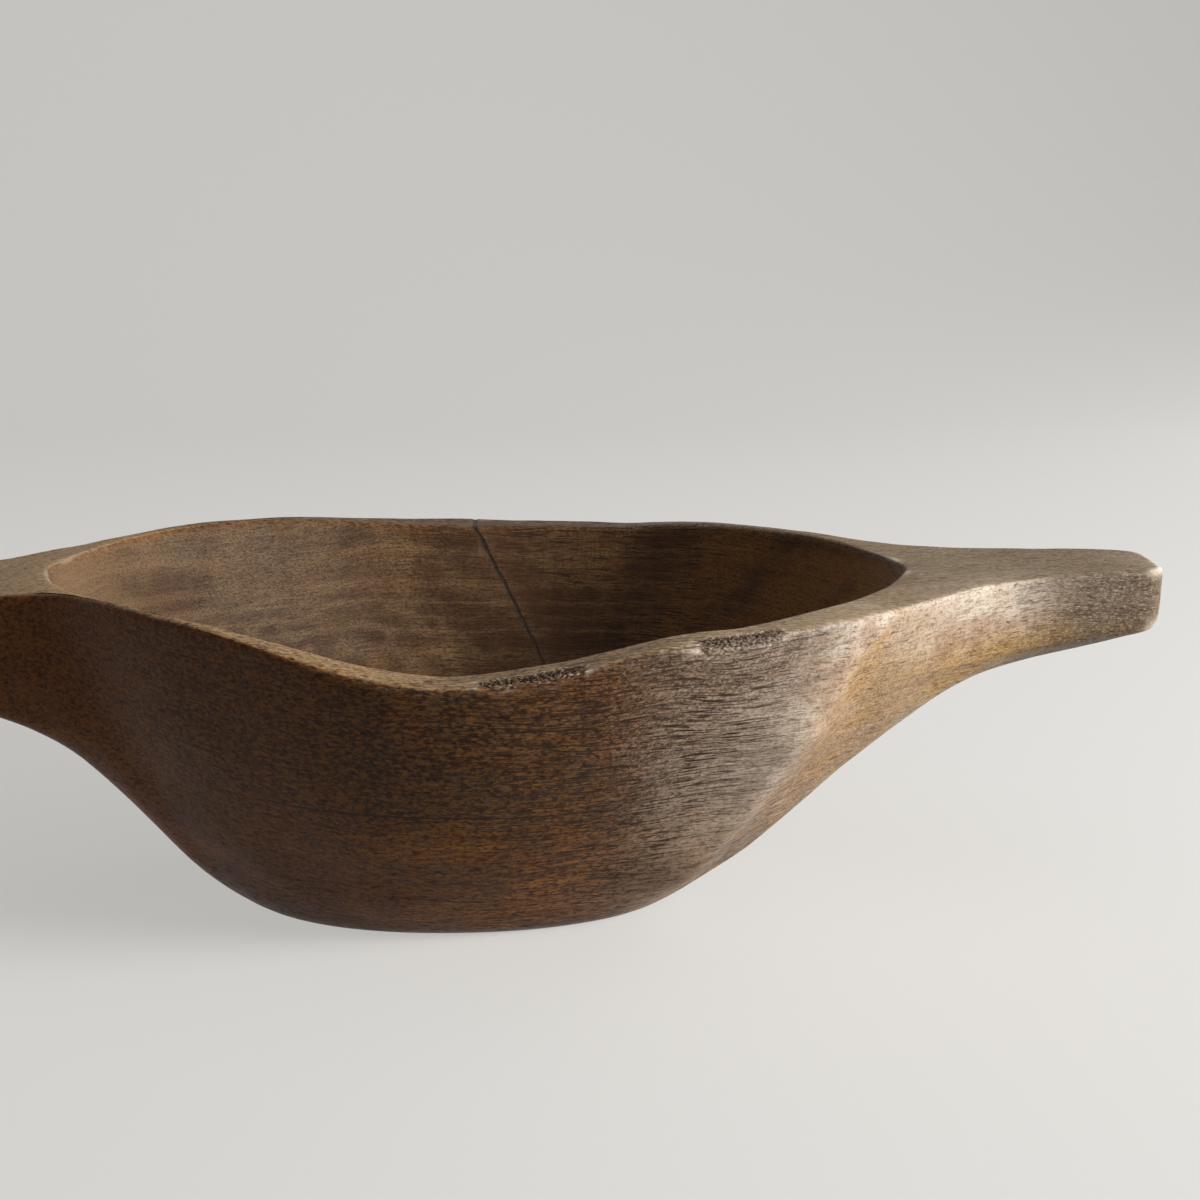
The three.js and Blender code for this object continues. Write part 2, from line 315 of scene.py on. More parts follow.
def underside_height(x, end):
    """Height of the underside: the end wall climbs to the grip's root, and the grip runs on from there."""
    reach, thickness = (0.120, 0.060) if end < 0 else (0.082, 0.034)
    foot = BASE_LENGTH / 2 + BASE_SHIFT * end
    root = HALF_LENGTH - reach
    root_height = rim_height(root * end, 1) - thickness
    end_height = rim_height(HALF_LENGTH * end, 1) - GRIP_END_THICKNESS
    wall = root_height * (x - foot) / (root - foot)
    grip = mix(root_height, end_height, (x - root) / reach)
    return np.maximum(0.0, (wall + grip - np.hypot(wall - grip, 0.010)) / 2)


print("rim at the dips", [round(float(rim_height(0.0, side)), 4) for side in (-1, 1)])

# %% [markdown]
# ## The carved body: one quarter of the drawing
# Every column of the skin starts in the middle of the base, goes up the outside, over the rim and down
# to the basin's floor. The outline, the opening and the base are walked in equal steps, so that the
# columns match. The four quarters have different shoulders and necks, because a hand-cut bowl is never
# quite symmetrical.

# %% Walk along a curve in equal steps
def walk(curve, shares):
    """Points at these shares of a curve's length, and the direction that points out of the bowl there."""
    lengths = np.concatenate([[0.0], np.cumsum(np.hypot(*np.diff(curve, axis=0).T))])

    def at(share):
        where = np.clip(share, 0.0, 1.0) * lengths[-1]
        return np.column_stack([np.interp(where, lengths, curve[:, axis]) for axis in (0, 1)])

    along = at(np.asarray(shares) + 0.004) - at(np.asarray(shares) - 0.004)
    along /= np.linalg.norm(along, axis=1, keepdims=True)
    return at(np.asarray(shares)), np.column_stack([-along[:, 1], along[:, 0]])


def oval(half_length, half_breadth, power, rounding):
    """A quarter of an oval, from the middle of its long side to its tip."""
    along = np.sin(np.linspace(0.0, math.pi / 2, 160))
    across = np.maximum(0.0, 1.0 - along ** power) ** rounding
    return np.column_stack([half_length * along, half_breadth * across])


# %% The columns of one quarter
STRETCHES = (
    ("side", 20, 0.82, 0.74),
    ("grip", 7, 0.93, 0.90),
    ("corner", 5, 0.96, 0.95),
    ("end", 2, 1.0, 1.0))
CORNER_RADIUS = 0.009


def quarter_columns(shoulder, neck):
    """Matching points of the outline, the opening and the base, each as plan points of one quarter."""
    corner_start = HALF_LENGTH - CORNER_RADIUS
    tip_side = np.array([corner_start, half_width(corner_start, shoulder, neck)])
    tip = np.array([HALF_LENGTH, GRIP_END_WIDTH / 2])
    tip_end = tip - [0.0, CORNER_RADIUS]
    bend = np.linspace(0.0, 1.0, 30)[:, None]
    sides = [np.linspace(0.0, GRIP_START, 120), np.linspace(GRIP_START, corner_start, 60)]
    curves = [np.column_stack([x, half_width(x, shoulder, neck)]) for x in sides]
    curves.append(tip_side * (1 - bend) ** 2 + tip * 2 * bend * (1 - bend) + tip_end * bend ** 2)
    curves.append(np.array([tip_end, [HALF_LENGTH, 0.0]]))
    outline, outward, opening_shares, base_shares = [], [], [], []
    before = (0.0, 0.0)
    for (name, count, opening, base), curve in zip(STRETCHES, curves):
        steps = np.linspace(0.0, 1.0, count + 1)[0 if name == "side" else 1:]
        points, directions = walk(curve, steps)
        outline.append(points)
        outward.append(directions)
        opening_shares.append(mix(before[0], opening, steps))
        base_shares.append(mix(before[1], base, steps))
        before = (opening, base)
    opening_line = oval(BASIN_TIP, BASIN_HALF_WIDTH, 2.15, 0.66)
    inner, inner_outward = walk(opening_line, np.concatenate(opening_shares))
    base_line = oval(BASE_LENGTH / 2, BASE_WIDTH / 2, 2.3, 0.44)
    foot, _ = walk(base_line, np.concatenate(base_shares))
    return np.vstack(outline), np.vstack(outward), inner, inner_outward, foot


print("columns in a quarter", len(quarter_columns(0.055, 0.035)[0]))

# %% [markdown]
# ## The carved body: rings from the base to the floor of the basin
# Each ring is one height of the bowl. Rings lie close together where the wood turns sharply, at the
# rim's two edges and along the lower edge of the grips, because Subdivision Surface keeps an edge only
# as crisp as its nearest rings.

# %% The rings of one quarter
WALL_RISES = (0.0, 0.12, 0.25, 0.39, 0.52, 0.64, 0.73, 0.78, 0.83, 0.90, 0.965, 1.0)
BASIN_SHARES = (1.0, 0.975, 0.94, 0.885, 0.84, 0.785, 0.72, 0.65, 0.57, 0.48, 0.38, 0.27, 0.15, 0.05)


def quarter_rings(end, side, shoulder, neck):
    """Every ring's points in one quarter, from the middle of the base to the middle of the basin's floor."""
    outer, outward, inner, inner_outward, foot = quarter_columns(shoulder, neck)
    foot = foot + [BASE_SHIFT * end, 0.0]
    rings = []

    def top(plan):
        return rim_height(plan[:, 0] * end, side)

    def ring(plan, height):
        level = np.broadcast_to(height, len(plan))
        rings.append(np.column_stack([plan[:, 0] * end, plan[:, 1] * side, level]))

    edge = top(outer) - OUTER_EDGE
    low = underside_height(outer[:, 0], end)
    root = mix(outer, foot, 0.12)
    root[:, 0] = np.minimum(root[:, 0], GRIP_START)
    grip_share = ease(outer[:, 0], BASIN_TIP - NECK_LENGTH / 4, BASIN_TIP + NECK_LENGTH)[:, None]
    grip_plans = [mix(foot, root, out) for out in (0.0, 0.2, 0.4, 0.6, 0.8, 1.0)]
    grip_heights = [underside_height(plan[:, 0], end) for plan in grip_plans]
    grip_plans += [outer - inset * GRIP_EDGE * outward for inset in (1.0, 0.3, 0.0, 0.0, 0.0, 0.0)]
    grip_heights += [low + lift * GRIP_EDGE for lift in (0.0, 0.3, 1.0)]
    grip_heights += [mix(low + GRIP_EDGE, edge, share) for share in (0.45, 0.84, 1.0)]
    for share in (0.35, 0.72, 0.93):
        ring(foot * share, 0.0)
    for rise, grip_plan, grip_height in zip(WALL_RISES, grip_plans, grip_heights):
        swell = WALL_BELLY * rise ** 0.9 * (1 - rise) / 0.267
        plan = mix(mix(foot, outer, rise) + swell * outward, grip_plan, grip_share)
        ring(plan, mix(edge * rise, grip_height, grip_share[:, 0]))
    bevel = 1 - math.sqrt(0.5)
    ring(outer - bevel * OUTER_EDGE * outward, top(outer) - bevel * OUTER_EDGE)
    for across in (0.0, 0.16, 0.5, 0.84, 1.0):
        plan = mix(outer - OUTER_EDGE * outward, inner + INNER_EDGE * inner_outward, across)
        ring(plan, top(plan))
    ring(inner + bevel * INNER_EDGE * inner_outward, top(inner) - bevel * INNER_EDGE)
    for share in BASIN_SHARES:
        ring(inner * share, mix(FLOOR_THICKNESS, top(inner) - INNER_EDGE, share ** 2.6))
    return np.stack(rings, axis=1)


# %% Join the four quarters
far_right = quarter_rings(1, 1, 0.028, 0.035)
far_left = quarter_rings(-1, 1, 0.028, 0.035)
near_left = quarter_rings(-1, -1, 0.018, 0.046)
near_right = quarter_rings(1, -1, 0.055, 0.035)
skin = np.concatenate([far_right[::-1][:-1], far_left[:-1], near_left[::-1][:-1], near_right[:-1]])
AROUND, RINGS = skin.shape[:2]
print("skin of", AROUND, "columns and", RINGS, "rings")

# %% [markdown]
# ## The carved body: from a tube to the bowl
# The mesh starts as a plain tube: a circle with one vertex for each column, extruded once for each ring
# and closed at both ends. Then every vertex goes to its place in the drawing. Its height in the tube
# says which ring it is in, and its direction says which column, so nothing depends on the order in
# which Blender numbers them.

# %% Extrude the tube
bpy.ops.object.select_all(action="DESELECT")
bpy.ops.mesh.primitive_circle_add(vertices=AROUND, radius=1.0, fill_type="NOTHING")
bowl = bpy.context.object
bowl.name = "carved_bowl"
bowl.data.name = "carved_bowl"
bpy.ops.object.mode_set(mode="EDIT")
bpy.ops.mesh.select_mode(type="EDGE")
bpy.ops.mesh.select_all(action="SELECT")
for step in range(RINGS - 1):
    bpy.ops.mesh.extrude_region_move(TRANSFORM_OT_translate={"value": (0.0, 0.0, 1.0)})
for end_ring in (0, RINGS - 1):
    pick("EDGE", lambda middle: abs(middle.z - end_ring) < 0.1)
    bpy.ops.mesh.edge_face_add()
    bpy.ops.mesh.poke()
bpy.ops.object.mode_set(mode="OBJECT")
print("tube faces", len(bowl.data.polygons))

# %% Move every vertex to its place
def face_outwards():
    """Turn all faces of the active object outwards."""
    bpy.ops.object.mode_set(mode="EDIT")
    bpy.ops.mesh.select_all(action="SELECT")
    bpy.ops.mesh.normals_make_consistent(inside=False)
    bpy.ops.object.mode_set(mode="OBJECT")


for corner in bowl.data.vertices:
    ring_number = round(corner.co.z)
    if math.hypot(corner.co.x, corner.co.y) < 0.5:
        corner.co = (0.0, 0.0, FLOOR_THICKNESS if ring_number else 0.0)
    else:
        turn = math.atan2(corner.co.y, corner.co.x) % (2 * math.pi)
        corner.co = skin[round(turn / (2 * math.pi) * AROUND) % AROUND, ring_number]
face_outwards()
print("cage faces", len(bowl.data.polygons), "size", [round(v, 4) for v in bowl.dimensions])


# %% [markdown]
# ## The carved body: smooth it
# Subdivision Surface turns the coarse cage into a fine skin that bends softly between the rings, as
# sanded wood does. It is applied at once, because the cuts and marks that follow need real faces to
# work on.

# %% Subdivide the cage
def select_only(obj):
    """Make one object the active one and the only one selected."""
    bpy.ops.object.select_all(action="DESELECT")
    obj.select_set(True)
    bpy.context.view_layer.objects.active = obj


def apply_modifier(obj, kind, name, **options):
    """Add a modifier with these options and apply it, as the Apply button does."""
    select_only(obj)
    modifier = obj.modifiers.new(name, kind)
    for option, value in options.items():
        setattr(modifier, option, value)
    bpy.ops.object.modifier_apply(modifier=modifier.name)


apply_modifier(bowl, "SUBSURF", "sanded_skin", levels=2, render_levels=2)
print("skin faces", len(bowl.data.polygons), "size", [round(v, 4) for v in bowl.dimensions])

# %% [markdown]
# ## The carved body: the arris at the front right
# Where the front wall meets the end wall, the knife left a soft ridge that runs from the base up to the
# neck. In sculpting you would pull it out with one stroke. Proportional editing does the same here: the
# vertices along the ridge move out a little, and their neighbours follow less and less with distance.

# %% Pull out the ridge
RIDGE_COURSE = [Vector(point) for point in (
    (0.066, -0.060, 0.006), (0.072, -0.069, 0.020), (0.078, -0.073, 0.032), (0.097, -0.077, 0.052),
    (0.107, -0.082, 0.071), (0.122, -0.085, 0.092), (0.139, -0.084, 0.116), (0.151, -0.080, 0.127))]
RIDGE_STROKES = ((0.012, 0.030, 0.0045, 0.034), (0.030, 0.086, 0.0085, 0.044), (0.086, 0.118, 0.0030, 0.034))


def distance_to(course, point):
    """Distance from a point to the nearest stretch of a course."""
    nearest = 1.0
    for first, last in zip(course, course[1:]):
        stretch = last - first
        share = min(1.0, max(0.0, (point - first).dot(stretch) / stretch.length_squared))
        nearest = min(nearest, (point - first - share * stretch).length)
    return nearest


def near_ridge(place, low, high, width):
    """Whether a place lies between two heights and within a width of the ridge's course."""
    in_corner = place.x > 0.05 and place.y < -0.05
    return in_corner and low < place.z < high and distance_to(RIDGE_COURSE, place) < width


bpy.ops.object.mode_set(mode="EDIT")
for low, high, pull, reach in RIDGE_STROKES:
    count = pick("VERT", lambda place: near_ridge(place, low, high, 0.004))
    bpy.ops.transform.translate(
        value=(0.7 * pull, -0.7 * pull, 0.0), use_proportional_edit=True, use_proportional_connected=True,
        proportional_edit_falloff="SHARP", proportional_size=reach)
    print("ridge vertices", count, "pulled", pull)
count = pick("VERT", lambda place: near_ridge(place, 0.010, 0.118, 0.030))
bpy.ops.mesh.vertices_smooth(factor=0.5, repeat=4)
bpy.ops.object.mode_set(mode="OBJECT")
print("ridge vertices", count, "smoothed")


# %% [markdown]
# ## The carved body: the unevenness of hand work
# Nothing cut by hand is quite even. Two Displace modifiers with soft cloud textures move the skin by
# about a millimetre: long waves from the gouge and shorter ones from the scraper. The base was planed,
# so a vertex group that fades in above it keeps it flat.

# %% Wave the skin
above_base = bowl.vertex_groups.new(name="above_base")
for corner in bowl.data.vertices:
    above_base.add([corner.index], float(ease(corner.co.z, 0.001, 0.022)), "REPLACE")


def wave_skin(name, spacing, depth):
    """Move the bowl's skin in and out by a cloud texture of this spacing."""
    clouds = bpy.data.textures.new(name, "CLOUDS")
    clouds.noise_scale = spacing
    clouds.noise_depth = 1
    apply_modifier(bowl, "DISPLACE", name, texture=clouds, texture_coords="LOCAL", strength=depth,
                   mid_level=0.5, vertex_group="above_base")


wave_skin("gouge_waves", 0.075, 0.0030)
wave_skin("scraper_waves", 0.024, 0.0009)
print("waved size", [round(v, 4) for v in bowl.dimensions])

# %% [markdown]
# ## The carved body: torn grain on the near rim
# In two places on the near rim's outer edge the gouge tore the fibres out instead of cutting them. The
# faces there are subdivided finely, and a Displace modifier with a very fine texture digs pits. A
# vertex group limits it to the torn places and fades it out at their ends.

# %% Tear the grain on the rim
TORN_PLACES = (
    ((0.009, -0.1325, 0.1215), (0.022, -0.1320, 0.1222), (0.039, -0.1295, 0.1240)),
    ((0.084, -0.1165, 0.1295), (0.096, -0.1110, 0.1300), (0.109, -0.1040, 0.1305)))
TORN_COURSES = [[Vector(point) for point in course] for course in TORN_PLACES]
TORN_REACH = 0.0050


def torn_share(place):
    """How badly the grain is torn at a place, from 0 to 1."""
    if place.y > -0.09 or place.z < 0.11:
        return 0.0
    nearest = min(distance_to(course, place) for course in TORN_COURSES)
    return max(0.0, 1.0 - nearest / TORN_REACH)


bpy.ops.object.mode_set(mode="EDIT")
count = pick("FACE", lambda middle: torn_share(middle) > 0.0)
bpy.ops.mesh.subdivide(number_cuts=5)
bpy.ops.object.mode_set(mode="OBJECT")
torn_group = bowl.vertex_groups.new(name="torn_grain")
for corner in bowl.data.vertices:
    share = torn_share(corner.co)
    if share > 0.0:
        torn_group.add([corner.index], share, "REPLACE")
pits = bpy.data.textures.new("torn_pits", "CLOUDS")
pits.noise_scale = 0.0010
pits.noise_depth = 2
apply_modifier(bowl, "DISPLACE", "torn_pits", texture=pits, texture_coords="LOCAL", strength=0.0034,
               mid_level=0.75, vertex_group="torn_grain")
print("torn faces", count)

# %% [markdown]
# ## The crack: a blade of its shape
# While the wood dried, the far wall split from the rim down towards the floor. To cut that split, a
# thin blade is made in the crack's shape: a plane extruded in steps, whose corners then follow the
# crack's uneven course. It is right through the wood at the rim and shallow at the lower end.

# %% The course of the crack
CRACK_TOP = 0.138
CRACK_TIP = 0.052
CRACK_BRIM = 0.126
CRACK_THROUGH = 0.108
CRACK_START = -0.0095
CRACK_LEAN = 0.042
CRACK_STEPS = 30
CRACK_WANDER = (0.0, 0.3, -0.2, 0.4, 0.1, -0.5, 0.2, 0.6, -0.1, -0.4, 0.3, 0.0, -0.6, 0.2, 0.5, -0.3)
CRACK_SWELL = (1.0, 1.1, 0.85, 0.95, 1.2, 1.0, 0.8, 1.05, 1.15, 0.9, 0.75, 1.0, 1.1)


def crack_descent(height):
    """How far down the crack a height lies: 0 at the rim, 1 at the tip."""
    return (CRACK_BRIM - height) / (CRACK_BRIM - CRACK_TIP)


def crack_middle(height):
    """Where the leaning crack is at a height, along the bowl."""
    return CRACK_START + CRACK_LEAN * crack_descent(height)


def basin_wall(height):
    """How far back the basin's far wall is at a height."""
    return 0.119 * np.maximum(0.05, (height - FLOOR_THICKNESS) / 0.103) ** (1 / 2.6)


def crack_corner(step, right, behind):
    """A corner of the blade at one step down its length."""
    height = mix(CRACK_TOP, CRACK_TIP, step / CRACK_STEPS)
    middle = crack_middle(height) + 0.0005 * CRACK_WANDER[step % len(CRACK_WANDER)]
    width = mix(0.0022, 0.0007, max(0.0, crack_descent(height)) ** 1.5)
    width *= CRACK_SWELL[step % len(CRACK_SWELL)]
    wall = basin_wall(height)
    back = mix(wall + 0.0035, 0.136, (height - CRACK_TIP) / (CRACK_THROUGH - CRACK_TIP))
    if height > CRACK_THROUGH:
        back = 0.150
    return (middle + (0.5 if right else -0.5) * width, back if behind else wall - 0.016, height)


# %% Extrude the blade
bpy.ops.object.select_all(action="DESELECT")
bpy.ops.mesh.primitive_plane_add(size=2.0)
blade = bpy.context.object
blade.name = "crack_blade"
bpy.ops.object.mode_set(mode="EDIT")
bpy.ops.mesh.select_all(action="SELECT")
for step in range(CRACK_STEPS):
    bpy.ops.mesh.extrude_region_move(TRANSFORM_OT_translate={"value": (0.0, 0.0, 1.0)})
bpy.ops.object.mode_set(mode="OBJECT")
for corner in blade.data.vertices:
    corner.co = crack_corner(round(corner.co.z), corner.co.x > 0, corner.co.y > 0)
face_outwards()
print("blade faces", len(blade.data.polygons))


# %% [markdown]
# ## The crack: cut it, and cast its filling
# The filling was poured into the crack and sank a little as it set. So a copy of the whole bowl, drawn
# in by a third of a millimetre, is cut down to what lies inside a slightly thinner blade. Then the
# blade itself is cut out of the bowl. The Boolean modifier does both.

# %% Cut the crack and make the filling
FIT_GAP = 0.00008
FILLING_SINK = 0.0003


def copy_of(source, name):
    """A copy of an object with its own mesh."""
    select_only(source)
    bpy.ops.object.duplicate()
    bpy.context.object.name = name
    bpy.context.object.data.name = name
    return bpy.context.object


thin_blade = copy_of(blade, "thin_blade")
apply_modifier(thin_blade, "DISPLACE", "fit_gap", strength=-FIT_GAP, mid_level=0.0)
filling = copy_of(bowl, "resin_filling")
apply_modifier(filling, "DISPLACE", "sunken", strength=-FILLING_SINK, mid_level=0.0)
apply_modifier(filling, "BOOLEAN", "inside_crack", operation="INTERSECT", object=thin_blade, solver="EXACT")
apply_modifier(bowl, "BOOLEAN", "crack", operation="DIFFERENCE", object=blade, solver="EXACT")
for tool in (blade, thin_blade):
    bpy.data.objects.remove(tool)
print("filling faces", len(filling.data.polygons))

# %% Tie both pieces to the part
for piece, node, slot in ((bowl, "bowl_body", "wood"), (filling, "crack_fill", "resin")):
    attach(piece, "root")
    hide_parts(node)
    select_only(piece)
    bpy.ops.object.shade_smooth_by_angle(angle=math.radians(48.0))
    print(piece.name, "faces", len(piece.data.polygons))

# %% [markdown]
# ## What the wood has been through: its edges
# Old wood is paler where hands rub its edges, darker where food has oiled it, and stained beside the
# crack. A material can't see those places, so they are measured on the mesh and stored as attributes,
# one number for each vertex. Edges come first: a vertex on an edge stands out from the average of its
# neighbours.

# %% Measure how sharply the skin bends
def read_vertices(mesh, what):
    """The places or normals of a mesh's vertices as rows of three numbers."""
    values = np.empty(len(mesh.vertices) * 3, np.float32)
    mesh.vertices.foreach_get(what, values)
    return values.reshape(-1, 3).astype(float)


def neighbour_average(links, values):
    """For every vertex, the average of a value over the vertices that its edges lead to."""
    total = np.zeros_like(values)
    np.add.at(total, links[:, 0], values[links[:, 1]])
    np.add.at(total, links[:, 1], values[links[:, 0]])
    count = np.bincount(links.ravel(), minlength=len(values)).astype(float)
    return total / np.maximum(count, 1.0).reshape((-1,) + (1,) * (values.ndim - 1))


places = read_vertices(bowl.data, "co")
normals = read_vertices(bowl.data, "normal")
links = np.empty(len(bowl.data.edges) * 2, np.int32)
bowl.data.edges.foreach_get("vertices", links)
links = links.reshape(-1, 2)
lengths = np.linalg.norm(places[links[:, 0]] - places[links[:, 1]], axis=1)
spacing = np.bincount(links.ravel(), np.repeat(lengths, 2), len(places))
spacing /= np.maximum(np.bincount(links.ravel(), minlength=len(places)), 1)
stand_out = -((neighbour_average(links, places) - places) * normals).sum(axis=1)
bend = stand_out / np.maximum(spacing, 0.0004) ** 2
for again in range(3):
    bend = neighbour_average(links, bend)
print("sharpest bend", round(float(bend.max()), 1), "per metre")

# %% [markdown]
# ## What the wood has been through: the basin, the rim and the lower sides
# What looks up is rubbed by hands, and on the rim's top its lighter tone is partly a painted highlight.
# What looks down near the grips is sheltered and keeps a golden tone. The basin is all that lies inside
# the drawn opening. The last mark tells level wood from upright wood, because grain lines run
# differently on the two.

# %% Mark the basin, the rim and the lower sides
def store_marks(name, values):
    """Keep one number for each vertex of the bowl under a name that a material can read."""
    mark = bowl.data.attributes.new(name, "FLOAT", "POINT")
    mark.data.foreach_set("value", np.asarray(values, np.float32))
    print(name, "from", round(float(values.min()), 3), "to", round(float(values.max()), 3))


x, y, z = places.T
upward = normals[:, 2]
opening = np.abs(x / BASIN_TIP) ** 2.15 + np.abs(y / BASIN_HALF_WIDTH) ** 1.5
inside = ease(1.03 - opening, 0.0, 0.05) * (upward > -0.1)
store_marks("oiled_basin", inside)
on_top = ease(upward, 0.75, 0.95) * (z > 0.1) * (1.0 - inside)
store_marks("rubbed_lit_rim", on_top)
near_grips = ease(np.abs(x), 0.105, 0.15)
store_marks("sheltered", ease(-upward, 0.10, 0.42) * near_grips)
near_right_grip = ease(x, 0.105, 0.15)
# Pale grey on the underside of the right grip: a painted sheen.
store_marks("underside_sheen", ease(-upward, 0.45, 0.8) * near_right_grip)
store_marks("lies_flat", ease(np.abs(upward), 0.72, 0.9))

# %% [markdown]
# ## What the wood has been through: the crack, the tears and the wear
# Dirt has crept into the wood on the right of the crack, so the stain lies a little to that side and
# fades with distance. The worn edges are the sharp bends, apart from those of the crack and the tears,
# which are too young to be worn. Their pale tint is partly wear and partly a painted highlight.

# %% Mark the crack, the tears and the worn edges
STAIN_SHIFT = np.array((0.008, 0.0, 0.0))
STAIN_REACH = 0.013


def gap_to(course):
    """For every vertex, the distance to the nearest of some places."""
    return np.linalg.norm(places[:, None, :] - course[None, :, :], axis=2).min(axis=1)


heights = np.linspace(0.130, CRACK_TIP, 50)
crack_course = np.column_stack([crack_middle(heights), basin_wall(heights), heights])
stain = np.exp(-gap_to(crack_course + STAIN_SHIFT) / STAIN_REACH)
store_marks("crack_stain", stain * (upward > -0.1))
torn = np.array([torn_share(Vector(place)) for place in places])
store_marks("torn_rim", np.minimum(1.0, 1.6 * torn))
split = np.exp(-((x - crack_middle(z)) / 0.010) ** 2) * (y > 0.05)
grip_ends = ease(np.abs(x), 0.25, 0.275)
# Pale sharp edges: partly wear and partly a painted highlight.
worn_and_highlit = ease(bend, 9.0, 85.0) * (1.0 - 0.45 * grip_ends)
store_marks("worn_highlit_edge", worn_and_highlit * (1.0 - split) * (1.0 - torn))

# %% [markdown]
# ## What the wood has been through: the ridge and the end wall
# The ridge stands proud and a silvery band runs along it, up onto the grip: partly dry, pale wood and
# partly a painted sheen. Beyond it the end wall is more golden. Which side a place lies on is found
# from the ridge's course at the same height.

# %% Mark the ridge and the end wall
RIDGE_ON_GRIP = [[0.185, -0.060, 0.122], [0.215, -0.045, 0.120]]

arris = np.array([list(point) for point in RIDGE_COURSE])
sheen_band_stops = np.vstack([arris[1:], RIDGE_ON_GRIP])
stops = np.linspace(0.0, 1.0, len(sheen_band_stops))
shares = np.linspace(0.0, 1.0, 40)
sheen_band_gap = gap_to(np.column_stack([np.interp(shares, stops, sheen_band_stops[:, axis]) for axis in range(3)]))
ridge_x = np.interp(z, arris[:, 2], arris[:, 0])
ridge_y = np.interp(z, arris[:, 2], arris[:, 1])
beyond = ease(0.75 * (x - ridge_x) + 0.66 * (y - ridge_y), 0.002, 0.014)
beyond *= (1.0 - inside) * (x > 0.05) * (y < 0.0)
beyond *= 1.0 - ease(x, 0.15, 0.19)
store_marks("end_wall", beyond)
# The band along the ridge: partly dry, pale wood and partly a painted sheen.
store_marks("dry_sheen_ridge", np.exp(-(sheen_band_gap / 0.028) ** 2) * (1.0 - inside) * (1.0 - 0.5 * beyond))

# %% [markdown]
# ## The wood: small helpers
# A wood material is mostly noise, ranges and mixes. Each helper stands for one node that you would add
# from the menu by hand, so that the cells below read like a recipe.

# %% Helpers for the wood's nodes
wood_finish, tree, shader = new_material("oiled_wood", Specular_IOR_Level=0.12)


def maths(operation, *values, kind="ShaderNodeMath", output="Value"):
    """The result of one Math node."""
    sockets = {f"_{number}": value for number, value in enumerate(values)}
    return add_node(tree, kind, {"operation": operation}, **sockets).outputs[output]


def vector_maths(operation, *values):
    """The result of one Vector Math node: a number for a length, or else a vector."""
    output = "Value" if operation == "LENGTH" else "Vector"
    return maths(operation, *values, kind="ShaderNodeVectorMath", output=output)


def times(first, *others):
    """Values multiplied with each other."""
    product = first
    for other in others:
        product = maths("MULTIPLY", product, other)
    return product


def level(value, low, high, out_low=0.0, out_high=1.0):
    """Turn the range from low to high into another range, and cut off what lies outside."""
    node = add_node(tree, "ShaderNodeMapRange", Value=value, From_Min=low, From_Max=high, To_Min=out_low,
                    To_Max=out_high)
    return node.outputs["Result"]


def tint(share, below, above, mode="MIX"):
    """One colour laid over another by a share."""
    options = {"data_type": "RGBA", "blend_type": mode}
    return add_node(tree, "ShaderNodeMix", options, _0=share, _6=below, _7=above).outputs[2]


def mark(name):
    """One of the marks measured on the mesh."""
    return add_node(tree, "ShaderNodeAttribute", {"attribute_name": name}).outputs["Fac"]


def even_noise(vector, scale, detail, roughness, twist=0.0, output="Fac"):
    """Noise that is alike in all directions."""
    noise = add_node(tree, "ShaderNodeTexNoise", Vector=vector, Scale=scale, Detail=detail,
                     Roughness=roughness, Distortion=twist)
    return noise.outputs[output]


def stretched_noise(vector, scales, detail, roughness):
    """Noise drawn out along the grain: a small scale along X makes long marks."""
    mapped = add_node(tree, "ShaderNodeMapping", Vector=vector, Scale=scales).outputs["Vector"]
    return even_noise(mapped, 1.0, detail, roughness)


print("material", wood_finish.name)

# %% [markdown]
# ## The wood: where the grain lies
# The block was sawn flat from a log, so its growth layers lie nearly level and its fibres run along the
# bowl. One pattern through the whole block gives that on every face. So it is built on Object
# coordinates, swayed a little, and each layer is a distance from the log's heart, far below the bowl.

# %% Grain coordinates and growth layers
place = add_node(tree, "ShaderNodeTexCoord").outputs["Object"]
sway = even_noise(place, 7.0, 2.0, 0.5, output="Color")
centred = vector_maths("SUBTRACT", sway, (0.5, 0.5, 0.5))
grain = vector_maths("MULTIPLY_ADD", centred, (0.0, 0.022, 0.022), place)
across = vector_maths("MULTIPLY_ADD", grain, (0.0, 1.0, 1.0), (0.0, -0.02, 0.26))
layer = vector_maths("LENGTH", across)


def layer_noise(scale, detail, roughness):
    """Noise that changes only from one growth layer to the next."""
    noise = add_node(tree, "ShaderNodeTexNoise", {"noise_dimensions": "1D"}, W=layer, Scale=scale,
                     Detail=detail, Roughness=roughness)
    return noise.outputs["Fac"]


growth = layer_noise(120.0, 3.0, 0.6)
broad = layer_noise(42.0, 1.0, 0.5)
swing = maths("SINE", maths("MULTIPLY_ADD", broad, 9.0, times(layer, 640.0)))
rings = level(swing, 0.45, 1.0)
pale_rings = level(swing, -0.5, -1.0, 0.0, 0.6)
print("nodes for the grain", len(tree.nodes))

# %% [markdown]
# ## The wood: fibres, flecks and pores
# Close up the wood is coarse: fine fibres, thin hairlines, short dark flecks and open pores. Each is a
# noise stretched along the grain, cut off so that only its peaks are left. On a wall such a line runs
# level and on the rim's top lengthwise, so two stretches are mixed by the mark for what lies flat.

# %% Fine patterns
flat = mark("lies_flat")


def laid_noise(along, slow, fast, detail, roughness):
    """Noise drawn out along the surface: level lines on the walls, lengthwise lines on what lies flat."""
    upright = stretched_noise(grain, (along, slow, fast), detail, roughness)
    lying = stretched_noise(grain, (along, fast, slow), detail, roughness)
    return add_node(tree, "ShaderNodeMix", _0=flat, _2=upright, _3=lying).outputs[0]


